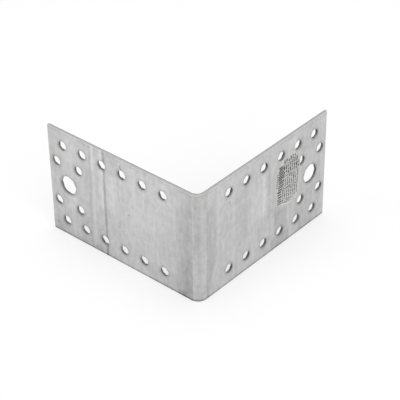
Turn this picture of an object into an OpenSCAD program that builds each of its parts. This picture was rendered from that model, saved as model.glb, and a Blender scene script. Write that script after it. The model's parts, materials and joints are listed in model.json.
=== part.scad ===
// Corner brace bracket: one strip of galvanised sheet steel, folded to a right angle.
// Each leg has two rows of nail holes, and a bolt hole with a nail hole at each corner around it.
// The origin is where the planes of the two outer faces and of the lower edge meet.
// The right leg lies along +X, the left leg along +Y, and the fold rises along +Z.

/* [Strip] */
// Length of each leg, from the outer face of the other leg to its free end
leg_length = 101.6; // [91:0.2:200]
// Height of the bracket along the fold, which is the width of the strip
strip_width = 65; // [54:1:160]
// Thickness of the sheet
sheet_thickness = 1.4; // [0.8:0.1:4]
// Radius on the inside of the fold
fold_inner_radius = 4; // [1:0.5:8]
// Radius of the four corners at the free ends
corner_radius = 0.5; // [0.2:0.1:4]

/* [Nail rows] */
// Diameter of every nail hole
nail_hole_diameter = 5.2; // [2:0.1:7]
// Number of nail holes in each row
nails_in_row = 6; // [2:1:6]
// Distance from one nail hole to the next in a row
nail_pitch = 13.7; // [8:0.1:15.2]
// Distance from the free end to the last nail hole of a row
row_end_distance = 10.1; // [5:0.1:16]
// Distance from a long edge of the leg to the row beside it
row_edge_distance = 9.2; // [4:0.1:13]

/* [Bolt group] */
// Diameter of the bolt hole
bolt_hole_diameter = 10.6; // [5:0.1:16]
// Distance from the free end to the bolt hole
bolt_end_distance = 12.8; // [11.5:0.1:18]
// Distance between the nail holes on either side of the bolt hole, along the leg
group_length = 15.6; // [10:0.1:19]
// Distance between the nail holes above and below the bolt hole
group_height = 24.5; // [18:0.1:30]

/* [Hidden] */
// How far a drill runs past each face of the sheet
drill_overrun = 1;
fold_outer_radius = fold_inner_radius + sheet_thickness;
corner_centre = leg_length - corner_radius;
row_end = leg_length - row_end_distance;
row_heights = [row_edge_distance, strip_width - row_edge_distance];
bolt_distance = leg_length - bolt_end_distance;
bolt_height = strip_width / 2;
$fn = 96;

// Outline of the flat part of a leg, from the fold to the rounded free end
module leg_outline() {
    translate([fold_outer_radius, 0])
        square([corner_centre - fold_outer_radius, strip_width]);
    translate([corner_centre, corner_radius])
        square([corner_radius, strip_width - 2 * corner_radius]);
    for (height = [corner_radius, strip_width - corner_radius])
        translate([corner_centre, height])
            circle(r = corner_radius);
}

// One hole through the right leg, at a distance from the other leg's face and a height
module hole(distance, height, diameter) {
    translate([distance, -drill_overrun, height])
        rotate([-90, 0, 0])
            cylinder(h = sheet_thickness + 2 * drill_overrun, d = diameter);
}

module nail_rows() {
    for (height = row_heights)
        for (step = [0 : nails_in_row - 1])
            hole(row_end - step * nail_pitch, height, nail_hole_diameter);
}

module bolt_group() {
    hole(bolt_distance, bolt_height, bolt_hole_diameter);
    for (side = [-1, 1])
        for (level = [-1, 1])
            hole(
                bolt_distance + side * group_length / 2,
                bolt_height + level * group_height / 2,
                nail_hole_diameter
            );
}

// The right leg, with its outer face on the plane y = 0
module leg() {
    difference() {
        rotate([90, 0, 0])
            translate([0, 0, -sheet_thickness])
                linear_extrude(sheet_thickness)
                    leg_outline();
        nail_rows();
        bolt_group();
    }
}

// The quarter turn of sheet that joins the legs
module fold() {
    translate([fold_outer_radius, fold_outer_radius, 0])
        rotate([0, 0, 180])
            rotate_extrude(angle = 90)
                translate([fold_inner_radius, 0])
                    square([sheet_thickness, strip_width]);
}

module bracket() {
    color("silver") {
        leg();
        mirror([1, -1, 0])
            leg();
        fold();
    }
}

bracket();
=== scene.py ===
"""Corner brace bracket: a folded sheet of galvanised steel with punched holes and a printed film.

Lengths are in metres, except where a name ends in _MM or _mm or a comment says millimetres. A point
of the sheet has three coordinates: its run along the strip from the middle of the fold, positive on
the right leg, its height up the fold, and its depth in from the outer face.
"""
import json

import bpy
import numpy as np
from mathutils import Matrix, Vector
from mathutils.geometry import delaunay_2d_cdt


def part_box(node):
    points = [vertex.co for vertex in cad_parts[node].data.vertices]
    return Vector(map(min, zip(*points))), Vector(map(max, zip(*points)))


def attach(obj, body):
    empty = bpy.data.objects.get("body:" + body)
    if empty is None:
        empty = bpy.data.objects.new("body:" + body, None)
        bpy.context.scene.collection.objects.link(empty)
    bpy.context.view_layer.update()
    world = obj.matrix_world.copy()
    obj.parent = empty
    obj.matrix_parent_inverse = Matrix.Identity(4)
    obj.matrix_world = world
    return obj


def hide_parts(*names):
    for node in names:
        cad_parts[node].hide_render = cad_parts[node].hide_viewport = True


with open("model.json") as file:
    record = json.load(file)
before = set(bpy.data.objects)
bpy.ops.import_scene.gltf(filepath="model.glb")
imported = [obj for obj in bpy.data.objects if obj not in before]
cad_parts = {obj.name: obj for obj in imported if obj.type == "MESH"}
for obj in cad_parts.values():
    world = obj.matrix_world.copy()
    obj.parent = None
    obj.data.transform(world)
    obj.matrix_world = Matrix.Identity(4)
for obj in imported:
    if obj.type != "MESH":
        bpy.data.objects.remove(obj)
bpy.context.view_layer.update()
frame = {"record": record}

MM = 0.001
PER_METRE = 1000
QUARTER = np.pi / 2
LEFT = -1
RIGHT = 1
STRIP_ATTRIBUTE = "strip_mm"

# Camera, fitted to the edges and holes in the photograph
CAMERA_PLACE = Vector((-0.4341, -0.3802, 0.4735))
CAMERA_AIM = Vector((0.0006, -0.0007, 0.0638))
CAMERA_ROLL_DEG = -0.68
CAMERA_LENS = 134.7
CAMERA_NEAREST = 0.01

# Lamps: name, place, size and watts
LAMPS = (
    ("key", (-0.9, -2.2, 2.2), 1.8, 26),
    ("fill", (-2.4, 0.6, 1.6), 1.8, 9),
    ("top", (0.3, 0.3, 2.6), 2.0, 18),
)

# World and floor. Of a pair, the first value lights the object, and the camera sees the second.
WHITE = (1, 1, 1, 1)
WORLD_STRENGTH = (0.6, 1.0)
FLOOR_GLOW = (0.2, 0.5)
FLOOR_COLOUR = (0.5, 0.5, 0.5, 1)
FLOOR_ROUGHNESS = 0.9
FLOOR_SIZE = 8

# Sheet. The angle is the direction from the fold's centre to the middle of its outer face.
FOLD_INNER_RADIUS = 4 * MM
FOLD_MIDDLE_ANGLE = 5 * np.pi / 4
CORNER_RADIUS = 0.5 * MM

# Its sheared rims: the rolled-over outer edge, the share of the thickness where the torn part
# starts, how far that has torn back round the outline and in the holes, over how many times that
# depth it does so, and the rounded inner edge
ROLLOVER = 0.18 * MM
TEAR_START = 0.5
SLIT_TEAR = 0.03 * MM
PUNCH_TEAR = 0.2 * MM
TEAR_SLOPE = 2
BURR_EDGE = 0.08 * MM

# Its mesh: the grid of the two skins and its least distance from a rim, the tolerance of the
# triangulation, and the share of a hole's radius within which a triangle's middle is in the hole
GRID = 3.4 * MM
LEAST_GAP = 0.8 * MM
MERGE_DISTANCE = 1e-9
OPEN_SHARE = 0.99
FOLD_COLUMNS = 24
ROLLOVER_STEPS = 4
BURR_STEPS = 2
CORNER_STEPS = 5
NAIL_HOLE_POINTS = 48
BOLT_HOLE_POINTS = 72
BOLT_HOLE_LEAST_RADIUS = 4 * MM

# Printed film on the right leg, in millimetres: its corners by distance from the outer corner and
# height, how much they are rounded, and how it is layered on the sheet
FILM_OUTLINE = ((58.4, 27.4), (70.0, 23.4), (79.2, 23.6), (80.1, 52.0), (60.0, 53.4))
FILM_CORNER = 1.0
FILM_GAP = 0.005
FILM_THICKNESS = 0.035
INK_THICKNESS = 0.01
PRINT_MIDDLE = (69.3, 38.2)
PRINT_TILT_DEG = 3.5
PRINT_SEED = 11

# The print's rule and ticks, in millimetres from its middle: the rule's left, right, lower and
# upper edge, and the ticks' first level, end and pitch
RULE = (-8.6, 4.4, -4.1, -3.85)
TICK_LEVELS = (-1.0, 7.4, 1.25)
TICK_LEFT = -9.1
TICK_UNEVEN = 0.3
TICK_RIGHT = -7.6
TICK_THICKNESS = 0.45

# Its heavy bars, in millimetres. They are narrow and far apart up to one level, and broad and close
# above it. The pairs are limits of random values, and one of the indents is chosen for each bar.
HEAVY_LOWEST = -12.2
HEAVY_HIGHEST = 10.4
HEAVY_LEFT = -7.5
HEAVY_INDENTS = (0, 0, 0.5)
HEAVY_THICKNESS = (0.65, 0.9)
NARROW_TOP = -2.8
NARROW_WIDTH = (2.6, 3.4)
NARROW_GAP = (0.55, 0.85)
BROAD_WIDTH = (3.2, 4.3)
BROAD_GAP = (0.25, 0.55)

# Its columns of short bars, in millimetres. They are thin up to one level and thick above it. The
# widths are limits of random values, and one of the lengths and gaps is chosen for each bar.
COLUMN_LEFT = -3.4
COLUMN_PITCH = 1.68
COLUMN_STARTS = (-12.4, -13.0, -13.6, -13.6, -13.4, -12.6, -11.6, -10.8)
COLUMN_ENDS = (13.8, 13.8, 13.0, 14.2, 14.2, 13.8, 12.4, 9.0)
COLUMN_UNEVEN = 0.4
SHORT_LENGTHS = (0.5, 0.8, 1.2, 1.8, 2.8)
SHORT_GAPS = (0.3, 0.45, 0.7)
THIN_TOP = 3
THIN_WIDTH = (0.5, 0.75)
THICK_WIDTH = (0.7, 0.95)

# Marks that run up the outer face, in millimetres: leg, distance from the outer corner, half width,
# lowest and highest point, and the share of the tone that they add. Then the blur of their sides
# and of their ends. Among them, the dark streak at 62.5 mm on the left leg is painted shade along
# its crease, the light ones at 64.5 and 70.4 mm are painted highlights beside it and along a slight
# kink, and those at 4.0 mm on the left and at 5.0 and 6.5 mm on the right are painted highlight and
# shade where the fold meets the legs.
STREAKS = (
    (LEFT, 62.5, 0.6, -5, 70, -0.28),
    (LEFT, 64.5, 0.5, 30, 66, 0.10),
    (LEFT, 66.3, 0.3, 34, 58, 0.06),
    (LEFT, 70.4, 0.6, 52, 70, 0.12),
    (LEFT, 70.4, 0.5, 38, 70, 0.08),
    (LEFT, 70.4, 0.4, 10, 40, 0.04),
    (LEFT, 72.2, 0.3, 20, 60, -0.08),
    (LEFT, 73.2, 0.7, -5, 34, -0.08),
    (LEFT, 56.6, 0.5, 30, 52, 0.08),
    (LEFT, 42.0, 0.3, 34, 62, 0.10),
    (LEFT, 35.8, 0.3, 44, 52, 0.08),
    (LEFT, 15.4, 0.3, 34, 56, 0.08),
    (LEFT, 4.0, 0.1, 4, 62, 0.06),
    (RIGHT, 5.0, 0.25, -5, 42, 0.04),
    (RIGHT, 6.5, 0.15, -5, 70, -0.10),
    (RIGHT, 24.3, 0.3, 41, 47, -0.10),
    (RIGHT, 50.5, 1.2, 28, 50, 0.08),
    (RIGHT, 54.6, 1.1, 24, 54, -0.09),
    (RIGHT, 80.4, 0.4, 32, 42, 0.08),
)
STREAK_BLUR = 0.4
STREAK_END_BLUR = 3

# Soft patches on the outer face, in millimetres: leg, nearest and farthest distance from the outer
# corner, lowest and highest point, blur, and the share of the tone that they add
PATCHES = (
    (LEFT, 0.7, 3.9, 30, 62, 0.5, -0.05),
    (LEFT, 8.0, 23.0, 18, 52, 5, -0.04),
    (LEFT, 24.0, 60.0, 34, 60, 8, 0.06),
    (LEFT, 35.0, 41.5, 8, 24, 2, 0.06),
    (LEFT, 64.0, 71.0, 20, 66, 2, 0.05),
    (LEFT, 73.5, 84.0, -10, 18, 2, -0.07),
    (LEFT, 82.0, 90.0, 40, 66, 4, 0.08),
    (LEFT, 55.0, 61.5, 54, 66, 3, -0.12),
    (LEFT, 64.5, 69.5, -5, 30, 2, -0.05),
    (LEFT, 67.0, 73.0, -5, 6, 2, -0.06),
    (LEFT, 54.0, 105, -5, 4, 3, -0.05),
    (LEFT, 90.0, 105, -5, 32, 5, -0.05),
    (LEFT, 95.0, 105, -5, 8, 3, -0.08),
    (LEFT, 98.2, 105, 38, 52, 1.5, -0.08),
    (LEFT, 14.0, 30.0, -5, 8, 4, -0.07),
    (LEFT, 9.5, 13.0, -5, 3, 1.5, -0.09),
    (LEFT, 84.0, 88.5, 20, 26, 2, 0.10),
    (LEFT, 84.0, 89.0, 49, 60, 2, 0.06),
    (RIGHT, 3.4, 5.4, -5, 34, 0.6, 0.03),
    (RIGHT, 28.0, 36.0, 22, 34, 4, -0.04),
    (RIGHT, 30.0, 42.0, 38, 50, 4, -0.04),
    (RIGHT, 40.0, 52.0, 28, 50, 4, 0.06),
    (RIGHT, 51.0, 58.0, 12, 22, 3, 0.05),
    (RIGHT, 60.0, 69.5, 9, 22, 1.0, -0.12),
    (RIGHT, 58.0, 71.0, -2, 6, 2, -0.12),
    (RIGHT, 59.0, 63.5, 21, 26, 1.5, -0.07),
    (RIGHT, 73.0, 79.0, -5, 6, 2, 0.06),
    (RIGHT, 78.0, 90.0, 4, 22, 4, -0.04),
    (RIGHT, 70.0, 75.0, 53, 61, 1.5, 0.07),
    (RIGHT, 80.0, 90.0, 50, 62, 3, -0.08),
    (RIGHT, 80.0, 106, -5, 50, 6, -0.05),
    (RIGHT, 98.5, 106, -5, 70, 1.5, 0.04),
)

# Dark specks on the outer face, in millimetres: leg, distance from the outer corner, height, radius
# and tone. Then the shares of the radius between which they fade.
SPECKS = (
    (LEFT, 43.5, 22.4, 1.1, -0.08),
    (LEFT, 46.4, 33.2, 0.7, -0.40),
    (LEFT, 50.4, 59.3, 0.6, -0.35),
    (LEFT, 50.9, 60.0, 0.6, -0.40),
    (LEFT, 51.1, 60.9, 0.6, -0.40),
    (LEFT, 53.6, 22.6, 0.9, -0.10),
    (LEFT, 70.2, 2.0, 1.0, -0.24),
    (LEFT, 72.2, 63.3, 0.8, -0.22),
    (LEFT, 75.2, 63.3, 0.8, -0.22),
    (LEFT, 98.4, 5.6, 1.0, -0.22),
    (RIGHT, 23.3, 49.6, 0.8, -0.22),
    (RIGHT, 68.2, 7.0, 0.9, -0.14),
    (RIGHT, 81.8, 58.3, 0.9, -0.14),
    (RIGHT, 90.5, 48.8, 0.9, -0.12),
)
SPECK_FADE = (0.4, 1.3)

# Crease down the left leg, in millimetres: its distances from the outer corner, its blur and depth
CREASE_FAR = 62.7
CREASE_NEAR = 62.3
CREASE_BLUR = 0.6
CREASE_DEPTH = 0.04

# Painted shade on each leg beside the fold, standing in for darker reflections there, in
# millimetres. The band sets in over START, a range of run by the fold, and fades over END, which
# moves by MOVE as the height goes through HEIGHTS. SHARE is what it adds to the tone. The left
# leg's band has FOOT_SHARE more below FOOT, and the right leg's band ends at TOP.
LEFT_FOLD_SHADE_START = (2.6, 2.9)
LEFT_FOLD_SHADE_END = (5.5, 15.5)
LEFT_FOLD_SHADE_HEIGHTS = (20, 62)
LEFT_FOLD_SHADE_MOVE = -4
LEFT_FOLD_SHADE_SHARE = -0.16
LEFT_FOLD_SHADE_FOOT = (10, 32)
LEFT_FOLD_SHADE_FOOT_SHARE = -0.13
RIGHT_FOLD_SHADE_START = (4.2, 4.6)
RIGHT_FOLD_SHADE_END = (4.5, 8)
RIGHT_FOLD_SHADE_HEIGHTS = (0, 26)
RIGHT_FOLD_SHADE_MOVE = 5
RIGHT_FOLD_SHADE_TOP = (50, 58)
RIGHT_FOLD_SHADE_SHARE = -0.14

# Painted shade and highlight in bands, in millimetres: start, end, blur, and the share of the tone
# that they add. In order: painted shade across the fold, measured along the run; painted shade up
# from the lower edge; a painted highlight and then painted shade below the upper edge, both
# measured up from that edge; and painted shade out from the edge of a hole.
FOLD_PAINTED_SHADE = (-2.8, 4.2, 0.2, -0.09)
LOWER_EDGE_PAINTED_SHADE = (-1, 0.6, 0.9, -0.42)
UPPER_EDGE_PAINTED_HIGHLIGHT = (-0.8, -0.4, 0.2, 0.05)
UPPER_BAND_PAINTED_SHADE = (-1.9, -1.3, 0.3, -0.07)
HOLE_EDGE_PAINTED_SHADE = (-1, 0, 1.9, -0.22)

# Noises: size of their patches in millimetres along the run, height and depth, shift, and detail
ZINC_NOISES = {
    "wander": ((4, 14, 0.1), 3.7, 2),
    "clouds": ((13, 22, 0.1), 0.3, 2),
    "blotches": ((2.6, 4.2, 0.1), 8.1, 3),
    "lines": ((0.8, 13, 0.1), 5.2, 3),
    "broad_lines": ((2.4, 60, 0.1), 1.4, 2),
}
ZINC_GRAINS = ((0.7, 1.0, 0.1), 2.6)
RIM_NOISES = {
    "drag": ((0.14, 0.14, 1.6), 4.4, 3),
    "patches": ((1.1, 1.1, 1.1), 9.3, 2),
    "pits": ((0.09, 0.09, 0.09), 6.1, 2),
}
FILM_NOISES = {
    "clouds": ((3, 5, 1), 2.2, 2),
    "lines": ((0.6, 20, 1), 5.2, 2),
}
INK_NOISES = {"worn": ((1.4, 1.4, 1), 7.7, 3)}

# Zinc. SHARES, ROUGHENING and RELIEF are what the patterns add to the share of the tone, to the
# roughness and to the relief. SLOPE is painted shade: how much lighter the upper edge is than the
# lower one. The last two are how far the marks and the painted shade beside the fold stray
# sideways.
ZINC_METALLIC = 0.8
ZINC_TONE = 0.57
ZINC_TINT = (1, 1, 0.998)
ZINC_SHARES = {"clouds": 0.12, "blotches": 0.22, "lines": 0.09, "broad_lines": 0.10, "grains": 0.06}
ZINC_PAINTED_SLOPE = 0.05
ZINC_ROUGHNESS = 0.45
ZINC_ROUGHENING = {"blotches": 0.12, "lines": 0.10, "grains": 0.05}
ZINC_RELIEF_MM = {"lines": 0.0018, "grains": 0.0009, "blotches": 0.004}
MARK_WANDER_MM = 0.5
FOLD_SHADE_WANDER_MM = 1.5

# Sheared rims. TONES are those on the left and on the right leg where the rim faces sideways, and
# the one where it faces up or down: the bare steel's own darker tone, with painted light and shade
# that differ by leg and by facing. The tone changes to that one over UPRIGHT, a range of the
# normal's upright part. The torn part sets in over TORN, a range of the share of the thickness.
SLIT_PAINTED_LIGHT_TONES = (0.42, 0.45, 0.435)
HOLE_PAINTED_LIGHT_TONES = (0.32, 0.18, 0.185)
RIM_METALLIC = 0.8
RIM_TINT = (1, 1, 0.99)
RIM_LEG_CHANGE_MM = 3
RIM_UPRIGHT = (0.3, 0.9)
RIM_TORN = (TEAR_START - 0.05, TEAR_START + 0.1)
RIM_SHARES = {"drag": 0.22, "patches": 0.14, "torn_pits": 0.2, "torn": -0.22}
RIM_ROUGHNESS = 0.42
RIM_ROUGHENING = {"torn": 0.22, "drag": 0.06}
RIM_RELIEF_MM = {"drag": 0.006, "torn_pits": 0.01}

# Film and ink. Along its first side the film carries a painted highlight, standing in for the light
# off an edge that has lifted, in millimetres: from its START on along that side, and up to a height
# above it in the range of its FADE.
FILM_TONE = 0.605
FILM_TINT = (1, 0.997, 0.985)
FILM_TONES = {"clouds": 0.09, "lines": 0.06, "lifted": 0.12}
FILM_ROUGHNESS = 0.4
LIFT_START = 4.5
LIFT_HIGHLIGHT_BLUR = 2
LIFT_HIGHLIGHT_FADE = (0.5, 1.3)
INK_TONE = 0.025
INK_TINT = (1, 1, 0.97)
INK_TONES = {"worn": 0.02}
INK_ROUGHNESS = 0.55


# Geometry of the folded sheet

leg_length, _, strip_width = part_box("bracket")[1]
mounts = {mount["name"]: mount for mount in frame["record"]["mounts"]}
thickness = mounts["right_leg_bolt_hole"]["dims"]["length_mm"] * MM
fold_outer_radius = FOLD_INNER_RADIUS + thickness
fold_run = QUARTER * (FOLD_INNER_RADIUS + thickness / 2)
strip_end = leg_length - fold_outer_radius + fold_run / 2


def run_at(distance):
    """Run along the right leg of a point at this distance from the outer corner."""
    return distance - fold_outer_radius + fold_run / 2


def run_mm(leg, distance):
    """Run in millimetres of a point at this distance in millimetres from the outer corner."""
    return leg * run_at(distance * MM) * PER_METRE


def on_sheet(run, height, depth):
    """Places of sheet points, with the directions along the strip and out of its outer face."""
    run, height, depth = np.broadcast_arrays(run, height, depth)
    side = np.where(run < 0, LEFT, RIGHT)
    along = np.abs(run)
    in_fold = along < fold_run / 2
    turn = np.where(in_fold, run / fold_run * QUARTER, side * QUARTER / 2)
    beyond = np.where(in_fold, 0, along - fold_run / 2)
    angle = FOLD_MIDDLE_ANGLE + turn
    out = np.stack([np.cos(angle), np.sin(angle), np.zeros(len(angle))], axis=1)
    forward = np.stack([-np.sin(angle), np.cos(angle), np.zeros(len(angle))], axis=1)
    centre = np.array([fold_outer_radius, fold_outer_radius, 0])
    place = centre + out * (fold_outer_radius - depth)[:, None]
    place += forward * (side * beyond)[:, None]
    place[:, 2] = height
    return place, forward, out


def hole_list():
    """Centre (run, height) and radius of every hole, from the mounts."""
    holes = []
    for name, mount in mounts.items():
        if mount["kind"] not in ("bore", "bolt_pattern"):
            continue
        leg = RIGHT if name.startswith("right") else LEFT
        distance = mount["pos_m"][0 if leg == RIGHT else 1]
        height = mount["pos_m"][2]
        dims = mount["dims"]
        spread = dims.get("spacing_x_mm", 0) * MM / 2
        rise = dims.get("spacing_y_mm", 0) * MM / 2
        radius = dims.get("hole_r_mm", dims.get("r_mm")) * MM
        places = {(a * spread, b * rise) for a in (-1, 1) for b in (-1, 1)}
        for a, b in sorted(places):
            holes.append((leg * run_at(distance + a), height + b, radius))
    return holes


def circle_loop(hole):
    """Points round a hole, with the direction into the sheet at each."""
    run, height, radius = hole
    count = BOLT_HOLE_POINTS if radius > BOLT_HOLE_LEAST_RADIUS else NAIL_HOLE_POINTS
    angle = -np.arange(count) * 2 * np.pi / count
    into = np.stack([np.cos(angle), np.sin(angle)], axis=1)
    return np.array([run, height]) + into * radius, into


def columns(end):
    """Runs of the mesh's columns, evenly spaced in the fold and on each leg as far as this run."""
    fold = np.linspace(-fold_run / 2, fold_run / 2, FOLD_COLUMNS + 1)
    flat = np.linspace(fold_run / 2, end, round((end - fold_run / 2) / GRID) + 1)[1:]
    return np.concatenate([-flat[::-1], fold, flat])


def outline_loop():
    """Points round the flat strip, with the direction into the sheet at each."""
    points, into = [], []
    inner_end = strip_end - CORNER_RADIUS
    inner_top = strip_width - CORNER_RADIUS
    corner = np.linspace(0, QUARTER, CORNER_STEPS + 1)[1:-1]
    for run in columns(inner_end):
        points.append((run, 0))
        into.append((0, 1))
    for a in corner:
        points.append((inner_end + CORNER_RADIUS * np.sin(a), CORNER_RADIUS * (1 - np.cos(a))))
        into.append((-np.sin(a), np.cos(a)))
    for rise in np.linspace(CORNER_RADIUS, inner_top, round(inner_top / GRID)):
        points.append((strip_end, rise))
        into.append((-1, 0))
    for a in corner:
        across, up = np.cos(a), np.sin(a)
        points.append((inner_end + CORNER_RADIUS * across, inner_top + CORNER_RADIUS * up))
        into.append((-across, -up))
    points, into = np.array(points), np.array(into)
    turned = np.array([0, strip_width]) - points
    return np.concatenate([points, turned]), np.concatenate([into, -into])


def rim_profile(tear_depth):
    """Rings of a sheared rim from the outer face to the inner one: inset, depth and normal's turn.

    The lower part of the rim has torn back into the sheet by the tear's depth.
    """
    rings = []
    for turn in np.linspace(0, QUARTER, ROLLOVER_STEPS + 1):
        rings.append((ROLLOVER * (1 - np.sin(turn)), ROLLOVER * (1 - np.cos(turn)), turn))
    tear = thickness * TEAR_START
    rings.append((0, tear, QUARTER))
    rings.append((tear_depth, tear + TEAR_SLOPE * tear_depth, QUARTER))
    for turn in np.linspace(QUARTER, 2 * QUARTER, BURR_STEPS + 1):
        inset = tear_depth + BURR_EDGE * (1 - np.sin(turn))
        rings.append((inset, thickness - BURR_EDGE * (1 + np.cos(turn)), turn))
    return rings


def skin_faces(loops, holes, fill):
    """Triangles of a skin outside the holes, as indices into the loops' points and the fill's."""
    points = np.concatenate(loops + [fill])
    edges, start = [], 0
    for loop in loops:
        count = len(loop)
        edges += [(start + i, start + (i + 1) % count) for i in range(count)]
        start += count
    found = delaunay_2d_cdt([Vector(p) for p in points], edges, [], 0, MERGE_DISTANCE)
    origin = [source[0] for source in found[3]]
    places = np.array([tuple(p) for p in found[0]])
    centres = np.array([hole[:2] for hole in holes])
    reach = np.array([hole[2] for hole in holes]) * OPEN_SHARE
    faces = []
    for face in found[2]:
        middle = places[list(face)].mean(axis=0)
        if (np.hypot(*(centres - middle).T) > reach).all():
            faces.append([origin[i] for i in face])
    return faces


def fill_points(holes):
    """Grid points of a skin, clear of every rim."""
    rises = np.linspace(0, strip_width, round(strip_width / GRID) + 1)[1:-1]
    grid = np.array([(run, rise) for run in columns(strip_end - GRID / 2) for rise in rises])
    for run, height, radius in holes:
        away = np.hypot(grid[:, 0] - run, grid[:, 1] - height)
        grid = grid[away > radius + ROLLOVER + LEAST_GAP]
    return grid


def new_piece(name, strip, faces, material, normals=None):
    """A piece of the object on its one body, from its points' run, height and depth."""
    place, forward, out = on_sheet(*strip.T)
    mesh = bpy.data.meshes.new(name)
    mesh.from_pydata([tuple(p) for p in place], [], faces)
    if normals is not None:
        mesh.polygons.foreach_set("use_smooth", [True] * len(mesh.polygons))
        turned = forward * normals[:, :1] + np.array([0, 0, 1]) * normals[:, 1:2]
        turned += out * normals[:, 2:]
        mesh.normals_split_custom_set_from_vertices([tuple(n) for n in turned])
    own = mesh.attributes.new(STRIP_ATTRIBUTE, "FLOAT_VECTOR", "POINT")
    own.data.foreach_set("vector", (strip * PER_METRE).astype(np.float32).ravel())
    mesh.materials.append(material)
    piece = bpy.data.objects.new(name, mesh)
    bpy.context.scene.collection.objects.link(piece)
    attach(piece, "root")
    return piece


def make_sheet(face_material, slit_material, hole_material):
    """The folded sheet: two skins, joined by sheared rims round the outline and every hole."""
    holes = hole_list()
    loops = [outline_loop()] + [circle_loop(hole) for hole in holes]
    profiles = [rim_profile(SLIT_TEAR)] + [rim_profile(PUNCH_TEAR)] * len(holes)
    fill = fill_points(holes)
    strip, normals, ring_starts = [], [], []

    def add(points, depth, into, turn):
        """Adds points at one depth. turn is 0 outside, a quarter on the rim and a half inside."""
        start = sum(len(s) for s in strip)
        strip.append(np.column_stack([points, np.full(len(points), depth)]))
        out = np.full(len(points), np.cos(turn))
        normals.append(np.column_stack([-into * np.sin(turn), out]))
        return start

    for (points, into), rings in zip(loops, profiles):
        ring_starts.append([add(points + into * inset, depth, into, turn)
                            for inset, depth, turn in rings])
    faces, slots = [], []
    for loop, ((points, _), starts) in enumerate(zip(loops, ring_starts)):
        count = len(points)
        for a, b in zip(starts, starts[1:]):
            for i in range(count):
                j = (i + 1) % count
                faces.append((a + i, b + i, b + j, a + j))
                slots.append(1 if loop == 0 else 2)
    for ring, depth, turn in ((0, 0, 0), (-1, thickness, 2 * QUARTER)):
        borders, sources = [], []
        for (points, into), rings, starts in zip(loops, profiles, ring_starts):
            borders.append(points + into * rings[ring][0])
            sources += [starts[ring] + i for i in range(len(points))]
        fill_start = add(fill, depth, np.zeros_like(fill), turn)
        sources += [fill_start + i for i in range(len(fill))]
        for face in skin_faces(borders, holes, fill):
            corners = [sources[i] for i in face]
            faces.append(corners if ring == 0 else corners[::-1])
            slots.append(0)
    piece = new_piece("folded_sheet", np.concatenate(strip), faces, face_material,
                      np.concatenate(normals))
    piece.data.materials.append(slit_material)
    piece.data.materials.append(hole_material)
    piece.data.polygons.foreach_set("material_index", slots)
    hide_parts("bracket")


# Printed film

def slab(outline, far_depth, near_depth):
    """Points and faces of a thin flat piece on the right leg, between two depths in millimetres."""
    count = len(outline)
    strip = [(run_at(u * MM), v * MM, depth * MM)
             for depth in (near_depth, far_depth) for u, v in outline]
    faces = [tuple(range(count)), tuple(range(2 * count - 1, count - 1, -1))]
    faces += [(i, i + count, (i + 1) % count + count, (i + 1) % count) for i in range(count)]
    return strip, faces


def make_film(material):
    """The film, with rounded corners."""
    corners = np.array(FILM_OUTLINE)
    outline = []
    for before, corner, after in zip(np.roll(corners, 1, axis=0), corners,
                                     np.roll(corners, -1, axis=0)):
        start = corner + (before - corner) * FILM_CORNER / np.linalg.norm(before - corner)
        end = corner + (after - corner) * FILM_CORNER / np.linalg.norm(after - corner)
        for t in np.linspace(0, 1, CORNER_STEPS + 1):
            outline.append(start * (1 - t) ** 2 + corner * 2 * t * (1 - t) + end * t ** 2)
    strip, faces = slab(outline, -FILM_GAP, -FILM_GAP - FILM_THICKNESS)
    new_piece("label_film", np.array(strip), faces, material)


def printed_bars():
    """Left, right, lower and upper edge of each printed bar, in mm from the middle of the print."""
    rng = np.random.default_rng(PRINT_SEED)
    bars = [RULE]
    for level in np.arange(*TICK_LEVELS):
        left = TICK_LEFT + TICK_UNEVEN * rng.random()
        bars.append((left, TICK_RIGHT, level, level + TICK_THICKNESS))
    level = HEAVY_LOWEST
    while level < HEAVY_HIGHEST:
        narrow = level < NARROW_TOP
        thick = rng.uniform(*HEAVY_THICKNESS)
        left = HEAVY_LEFT + rng.choice(HEAVY_INDENTS)
        wide = rng.uniform(*(NARROW_WIDTH if narrow else BROAD_WIDTH))
        bars.append((left, left + wide, level, level + thick))
        level += thick + rng.uniform(*(NARROW_GAP if narrow else BROAD_GAP))
    for column, (level, top) in enumerate(zip(COLUMN_STARTS, COLUMN_ENDS)):
        left = COLUMN_LEFT + COLUMN_PITCH * column
        level += rng.uniform(0, COLUMN_UNEVEN)
        while level < top:
            length = rng.choice(SHORT_LENGTHS)
            wide = rng.uniform(*(THIN_WIDTH if level <= THIN_TOP else THICK_WIDTH))
            bars.append((left, left + wide, level, min(level + length, top)))
            level += length + rng.choice(SHORT_GAPS)
    return bars


def make_print(material):
    """The print: bars that stand proud of the film, with their backs inside it."""
    strip, faces = [], []
    back = -FILM_GAP - FILM_THICKNESS / 2
    front = -FILM_GAP - FILM_THICKNESS - INK_THICKNESS
    tilt = np.radians(PRINT_TILT_DEG)
    turned = np.array([[np.cos(tilt), -np.sin(tilt)], [np.sin(tilt), np.cos(tilt)]])
    for left, right, lower, upper in printed_bars():
        corners = [(left, lower), (right, lower), (right, upper), (left, upper)]
        outline = np.array(corners) @ turned + PRINT_MIDDLE
        start = len(strip)
        points, sides = slab(outline, back, front)
        strip += points
        faces += [tuple(start + i for i in side) for side in sides]
    new_piece("label_print", np.array(strip), faces, material)


# Fields: values that vary over a surface

def connect(tree, value, socket):
    """Links a field to a socket, or sets the socket to a plain number."""
    if isinstance(value, Field):
        tree.links.new(value.socket, socket)
    else:
        socket.default_value = value


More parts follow.
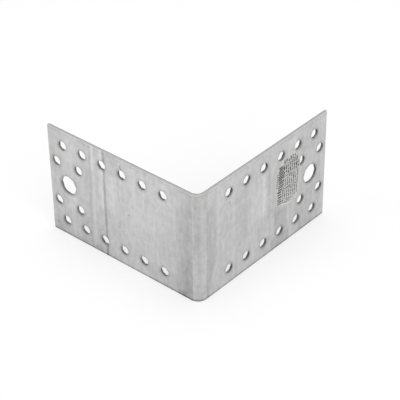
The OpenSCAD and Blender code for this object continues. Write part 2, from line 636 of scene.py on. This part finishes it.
class Field:
    """A value that varies over a surface. Arithmetic on it adds nodes to its material's tree."""

    def __init__(self, tree, socket):
        self.tree = tree
        self.socket = socket

    def maths(self, operation, *others):
        node = self.tree.nodes.new("ShaderNodeMath")
        node.operation = operation
        for place, value in enumerate((self, *others)):
            connect(self.tree, value, node.inputs[place])
        return Field(self.tree, node.outputs[0])

    def __add__(self, other):
        return self.maths("ADD", other)

    def __sub__(self, other):
        return self.maths("SUBTRACT", other)

    def __mul__(self, other):
        return self.maths("MULTIPLY", other)

    def __truediv__(self, other):
        return self.maths("DIVIDE", other)

    def size(self):
        return self.maths("ABSOLUTE")

    def least(self, other):
        return self.maths("MINIMUM", other)

    def most(self, other):
        return self.maths("MAXIMUM", other)

    def distance(self, other):
        """Length of the vector with this and the other as its two parts."""
        return (self * self + other * other).maths("SQRT")

    def rising(self, start, end):
        """0 up to start, 1 from end on, and smooth between them."""
        node = self.tree.nodes.new("ShaderNodeMapRange")
        node.interpolation_type = "SMOOTHSTEP"
        node.inputs["From Min"].default_value = start
        node.inputs["From Max"].default_value = end
        self.tree.links.new(self.socket, node.inputs["Value"])
        return Field(self.tree, node.outputs["Result"])

    def falling(self, start, end):
        """1 up to start, 0 from end on, and smooth between them."""
        return self.rising(start, end) * -1 + 1

    def within(self, start, end, blur):
        """1 between start and end, falling to 0 over blur on either side."""
        return self.rising(start - blur, start) - self.rising(end, end + blur)


def total(fields):
    return sum(fields[1:], fields[0])


def mixed(patterns, amounts):
    """Sum of the patterns that the amounts name, each times its amount."""
    return total([patterns[name] * amount for name, amount in amounts.items()])


def banded(value, band):
    """What a band adds where this value lies between its start and its end."""
    start, end, blur, share = band
    return value.within(start, end, blur) * share


def strip_fields(tree):
    """Run, height and depth of the shaded point, in millimetres."""
    source = tree.nodes.new("ShaderNodeAttribute")
    source.attribute_name = STRIP_ATTRIBUTE
    split = tree.nodes.new("ShaderNodeSeparateXYZ")
    tree.links.new(source.outputs["Vector"], split.inputs["Vector"])
    return [Field(tree, output) for output in split.outputs]


def pattern(node, place, sizes, shift, output):
    """Values between about -1 and 1 from a texture node, with patches of these sizes in mm."""
    tree = place[0].tree
    vector = tree.nodes.new("ShaderNodeCombineXYZ")
    for field, size, socket in zip(place, sizes, vector.inputs):
        tree.links.new((field / size + shift).socket, socket)
    tree.links.new(vector.outputs["Vector"], node.inputs["Vector"])
    node.inputs["Scale"].default_value = 1
    return Field(tree, node.outputs[output]) * 2 - 1


def noises(place, recipes):
    """Soft noise of each recipe, by its name."""
    patterns = {}
    for name, (sizes, shift, detail) in recipes.items():
        node = place[0].tree.nodes.new("ShaderNodeTexNoise")
        node.inputs["Detail"].default_value = detail
        patterns[name] = pattern(node, place, sizes, shift, 0)
    return patterns


def grains(place, sizes, shift):
    """A different value for each crystal grain of the zinc."""
    node = place[0].tree.nodes.new("ShaderNodeTexVoronoi")
    return pattern(node, place, sizes, shift, "Color")


def rim_gap(run, height):
    """Distance in mm from the edge of the nearest hole.

    Both legs and both halves of their height are alike.
    """
    bolt, group = mounts["right_leg_bolt_hole"], mounts["right_leg_nails_at_bolt"]
    wide, narrow = mounts["right_leg_nails_wide"], mounts["right_leg_nails_narrow"]
    pitch = narrow["dims"]["spacing_x_mm"]
    in_half_row = round(wide["dims"]["spacing_x_mm"] / pitch / 2 + 0.5)
    row_centre = run_mm(RIGHT, wide["pos_m"][0] * PER_METRE)
    bolt_centre = run_mm(RIGHT, bolt["pos_m"][0] * PER_METRE)
    rise = (height - bolt["pos_m"][2] * PER_METRE).size()
    from_row_centre = run.size() - row_centre
    step = (from_row_centre / pitch).maths("FLOOR").most(-in_half_row).least(in_half_row - 1) + 0.5
    row = (from_row_centre - step * pitch).distance(rise - wide["dims"]["spacing_y_mm"] / 2)
    from_bolt = run.size() - bolt_centre
    around = (from_bolt.size() - group["dims"]["spacing_x_mm"] / 2).distance(
        rise - group["dims"]["spacing_y_mm"] / 2)
    nails = row.least(around) - wide["dims"]["hole_r_mm"]
    return nails.least(from_bolt.distance(rise) - bolt["dims"]["r_mm"])


# Materials

def new_material(name, metallic=0):
    material = bpy.data.materials.new(name)
    material.use_nodes = True
    shader = material.node_tree.nodes["Principled BSDF"]
    shader.inputs["Metallic"].default_value = metallic
    return material, material.node_tree, shader


def surface_from(shader, tone, tint, roughness, relief_mm=None):
    """Gives the shader a tinted tone, a roughness, and a relief in millimetres."""
    tree = tone.tree
    colour = tree.nodes.new("ShaderNodeCombineColor")
    for share, socket in zip(tint, colour.inputs):
        connect(tree, tone * share, socket)
    tree.links.new(colour.outputs["Color"], shader.inputs["Base Color"])
    connect(tree, roughness, shader.inputs["Roughness"])
    if relief_mm is not None:
        bump = tree.nodes.new("ShaderNodeBump")
        bump.inputs["Strength"].default_value = 1
        bump.inputs["Distance"].default_value = MM
        tree.links.new(relief_mm.socket, bump.inputs["Height"])
        tree.links.new(bump.outputs["Normal"], shader.inputs["Normal"])


def outer_marks(run, height, wander):
    """Share of the tone that the marks on the outer face add, painted shade and highlight along a
    crease and by the fold among them.
    """
    marks_and_shade = []
    # Some streaks are painted shade and highlight along a crease, a kink and the edges of the fold.
    for leg, distance, half, lowest, highest, share in STREAKS:
        centre = run_mm(leg, distance)
        across = (run + wander).within(centre - half, centre + half, STREAK_BLUR)
        marks_and_shade.append(across * height.within(lowest, highest, STREAK_END_BLUR) * share)
    for leg, nearest, farthest, lowest, highest, blur, share in PATCHES:
        start, end = sorted((run_mm(leg, nearest), run_mm(leg, farthest)))
        marks_and_shade.append(run.within(start, end, blur) * height.within(lowest, highest, blur) * share)
    for leg, distance, level, radius, share in SPECKS:
        away = (run - run_mm(leg, distance)).distance(height - level)
        marks_and_shade.append(away.falling(*(radius * part for part in SPECK_FADE)) * share)
    return total(marks_and_shade)


def painted_fold_shade(run, height, wander):
    """Share of the tone that painted shade adds in the fold and on both sides of it, standing in
    for darker reflections there.
    """
    left = run * -1
    end_moved = height.rising(*LEFT_FOLD_SHADE_HEIGHTS) * LEFT_FOLD_SHADE_MOVE + wander
    on_left = left.rising(*LEFT_FOLD_SHADE_START) * (left - end_moved).falling(*LEFT_FOLD_SHADE_END)
    left_share = height.falling(*LEFT_FOLD_SHADE_FOOT) * LEFT_FOLD_SHADE_FOOT_SHARE + LEFT_FOLD_SHADE_SHARE
    end_moved = height.rising(*RIGHT_FOLD_SHADE_HEIGHTS) * RIGHT_FOLD_SHADE_MOVE + wander
    on_right = run.rising(*RIGHT_FOLD_SHADE_START) * (run - end_moved).falling(*RIGHT_FOLD_SHADE_END)
    on_right = on_right * height.falling(*RIGHT_FOLD_SHADE_TOP)
    return on_left * left_share + on_right * RIGHT_FOLD_SHADE_SHARE + banded(run, FOLD_PAINTED_SHADE)


def painted_edge_shade(run, height):
    """Share of the tone that painted shade and highlight add along the edges of the sheet and of
    its holes.
    """
    above_top = height - strip_width * PER_METRE
    return total([banded(height, LOWER_EDGE_PAINTED_SHADE), banded(above_top, UPPER_EDGE_PAINTED_HIGHLIGHT),
                  banded(above_top, UPPER_BAND_PAINTED_SHADE), banded(rim_gap(run, height), HOLE_EDGE_PAINTED_SHADE)])


def make_galvanised():
    """Dull zinc on rolled sheet: mottling, grain, roll lines up the fold and marks on the outer
    face, with painted shade and highlight.
    """
    material, tree, shader = new_material("galvanised_steel", ZINC_METALLIC)
    place = strip_fields(tree)
    run, height, depth = place
    outer = depth.falling(0, thickness * PER_METRE)
    patterns = noises(place, ZINC_NOISES)
    patterns["grains"] = grains(place, *ZINC_GRAINS)
    wander = patterns["wander"]
    # Painted shade: the sheet is made lighter towards its upper edge.
    painted_gradient = (height / (strip_width * PER_METRE) - 0.5) * ZINC_PAINTED_SLOPE
    # The marks include painted shade and highlight along a crease and by the fold.
    marks_and_shade = outer_marks(run, height, wander * MARK_WANDER_MM)
    # Painted shade in and beside the fold, standing in for darker reflections there.
    marks_and_shade = marks_and_shade + painted_fold_shade(run, height, wander * FOLD_SHADE_WANDER_MM)
    # The edges add painted shade and highlight along the rims of the sheet and round its holes.
    share = mixed(patterns, ZINC_SHARES) + painted_gradient + painted_edge_shade(run, height) + marks_and_shade * outer
    roughness = mixed(patterns, ZINC_ROUGHENING) + ZINC_ROUGHNESS
    crease = run.within(run_mm(LEFT, CREASE_FAR), run_mm(LEFT, CREASE_NEAR), CREASE_BLUR) * outer
    relief_mm = mixed(patterns, ZINC_RELIEF_MM) - crease * CREASE_DEPTH
    surface_from(shader, (share + 1) * ZINC_TONE, ZINC_TINT, roughness, relief_mm)
    return material


def make_cut_steel(name, left_tone, right_tone, raised_tone):
    """A sheared rim: a smooth band below the outer face, then a torn one, with lines across both.

    The tones are those on either leg where the rim faces sideways, and the one where it faces up
    or down: the steel's own dark tone, with painted light and shade that differ by leg and facing.
    """
    material, tree, shader = new_material(name, RIM_METALLIC)
    place = strip_fields(tree)
    run, _, depth = place
    # Painted light and shade: the rim's tone differs by leg and by whether it faces sideways or up
    # and down.
    on_right = run.rising(-RIM_LEG_CHANGE_MM, RIM_LEG_CHANGE_MM)
    sideways_tone = on_right * (right_tone - left_tone) + left_tone
    facing = tree.nodes.new("ShaderNodeSeparateXYZ")
    geometry = tree.nodes.new("ShaderNodeNewGeometry")
    tree.links.new(geometry.outputs["Normal"], facing.inputs["Vector"])
    raised = Field(tree, facing.outputs["Z"]).size().rising(*RIM_UPRIGHT)
    tone = sideways_tone + (sideways_tone * -1 + raised_tone) * raised
    torn = depth.rising(*(part * thickness * PER_METRE for part in RIM_TORN))
    patterns = noises(place, RIM_NOISES)
    patterns["torn"] = torn
    patterns["torn_pits"] = patterns["pits"] * torn
    share = mixed(patterns, RIM_SHARES)
    roughness = mixed(patterns, RIM_ROUGHENING) + RIM_ROUGHNESS
    relief_mm = mixed(patterns, RIM_RELIEF_MM)
    surface_from(shader, (share + 1) * tone, RIM_TINT, roughness, relief_mm)
    return material


def make_film_material():
    """Pale film, a little mottled, with a painted highlight along its first side for an edge that
    has lifted.
    """
    material, tree, shader = new_material("pale_film")
    place = strip_fields(tree)
    run, height, _ = place
    (start, start_height), (end, end_height) = FILM_OUTLINE[:2]
    along = run - run_mm(RIGHT, start)
    above = height - start_height - along * ((end_height - start_height) / (end - start))
    highlight_part = along.within(LIFT_START, end - start, LIFT_HIGHLIGHT_BLUR)
    patterns = noises(place, FILM_NOISES)
    # Painted highlight along the first side, for the light off its lifted edge.
    patterns["lifted"] = above.falling(*LIFT_HIGHLIGHT_FADE) * highlight_part
    surface_from(shader, mixed(patterns, FILM_TONES) + FILM_TONE, FILM_TINT, FILM_ROUGHNESS)
    return material


def make_ink():
    """Black print, thinner in places."""
    material, tree, shader = new_material("black_ink")
    patterns = noises(strip_fields(tree), INK_NOISES)
    surface_from(shader, mixed(patterns, INK_TONES) + INK_TONE, INK_TINT, INK_ROUGHNESS)
    return material


# Stage

def make_camera():
    data = bpy.data.cameras.new("camera")
    data.lens = CAMERA_LENS
    data.clip_start = CAMERA_NEAREST
    camera = bpy.data.objects.new("camera", data)
    look = (CAMERA_AIM - CAMERA_PLACE).normalized()
    turn = look.to_track_quat("-Z", "Y").to_matrix().to_4x4()
    roll = Matrix.Rotation(np.radians(CAMERA_ROLL_DEG), 4, "Z")
    camera.matrix_world = Matrix.Translation(CAMERA_PLACE) @ turn @ roll
    bpy.context.scene.collection.objects.link(camera)
    bpy.context.scene.camera = camera


def softbox(name, place, size, watts):
    """A square lamp that faces the origin."""
    data = bpy.data.lights.new(name, "AREA")
    data.size = size
    data.energy = watts
    lamp = bpy.data.objects.new(name, data)
    lamp.location = place
    lamp.rotation_euler = (-Vector(place)).to_track_quat("-Z", "Y").to_euler()
    bpy.context.scene.collection.objects.link(lamp)


def where_seen(tree, plain, seen):
    """A value for camera, glossy and transmission rays, and a plain one for the rest."""
    path = tree.nodes.new("ShaderNodeLightPath")
    camera, glossy, transmission = [Field(tree, path.outputs[f"Is {ray} Ray"])
                                    for ray in ("Camera", "Glossy", "Transmission")]
    return camera.most(glossy).most(transmission) * (seen - plain) + plain


def make_world():
    world = bpy.data.worlds.new("world")
    world.use_nodes = True
    tree = world.node_tree
    background = tree.nodes["Background"]
    background.inputs["Color"].default_value = WHITE
    connect(tree, where_seen(tree, *WORLD_STRENGTH), background.inputs["Strength"])
    bpy.context.scene.world = world


def make_floor():
    """A pale floor that keeps the shadow. Where no shadow falls, the camera sees it white."""
    material, tree, shader = new_material("pale_floor")
    shader.inputs["Base Color"].default_value = FLOOR_COLOUR
    shader.inputs["Roughness"].default_value = FLOOR_ROUGHNESS
    shader.inputs["Specular IOR Level"].default_value = 0
    shader.inputs["Emission Color"].default_value = WHITE
    connect(tree, where_seen(tree, *FLOOR_GLOW), shader.inputs["Emission Strength"])
    bpy.ops.mesh.primitive_plane_add(size=FLOOR_SIZE, location=(0, 0, 0))
    floor = bpy.context.object
    floor.name = "floor"
    floor.data.materials.append(material)


make_camera()
make_world()
make_floor()
for lamp in LAMPS:
    softbox(*lamp)
slit_edge = make_cut_steel("slit_edge", *SLIT_PAINTED_LIGHT_TONES)
punched_wall = make_cut_steel("punched_wall", *HOLE_PAINTED_LIGHT_TONES)
make_sheet(make_galvanised(), slit_edge, punched_wall)
make_film(make_film_material())
make_print(make_ink())
bpy.context.scene.view_settings.view_transform = "Standard"
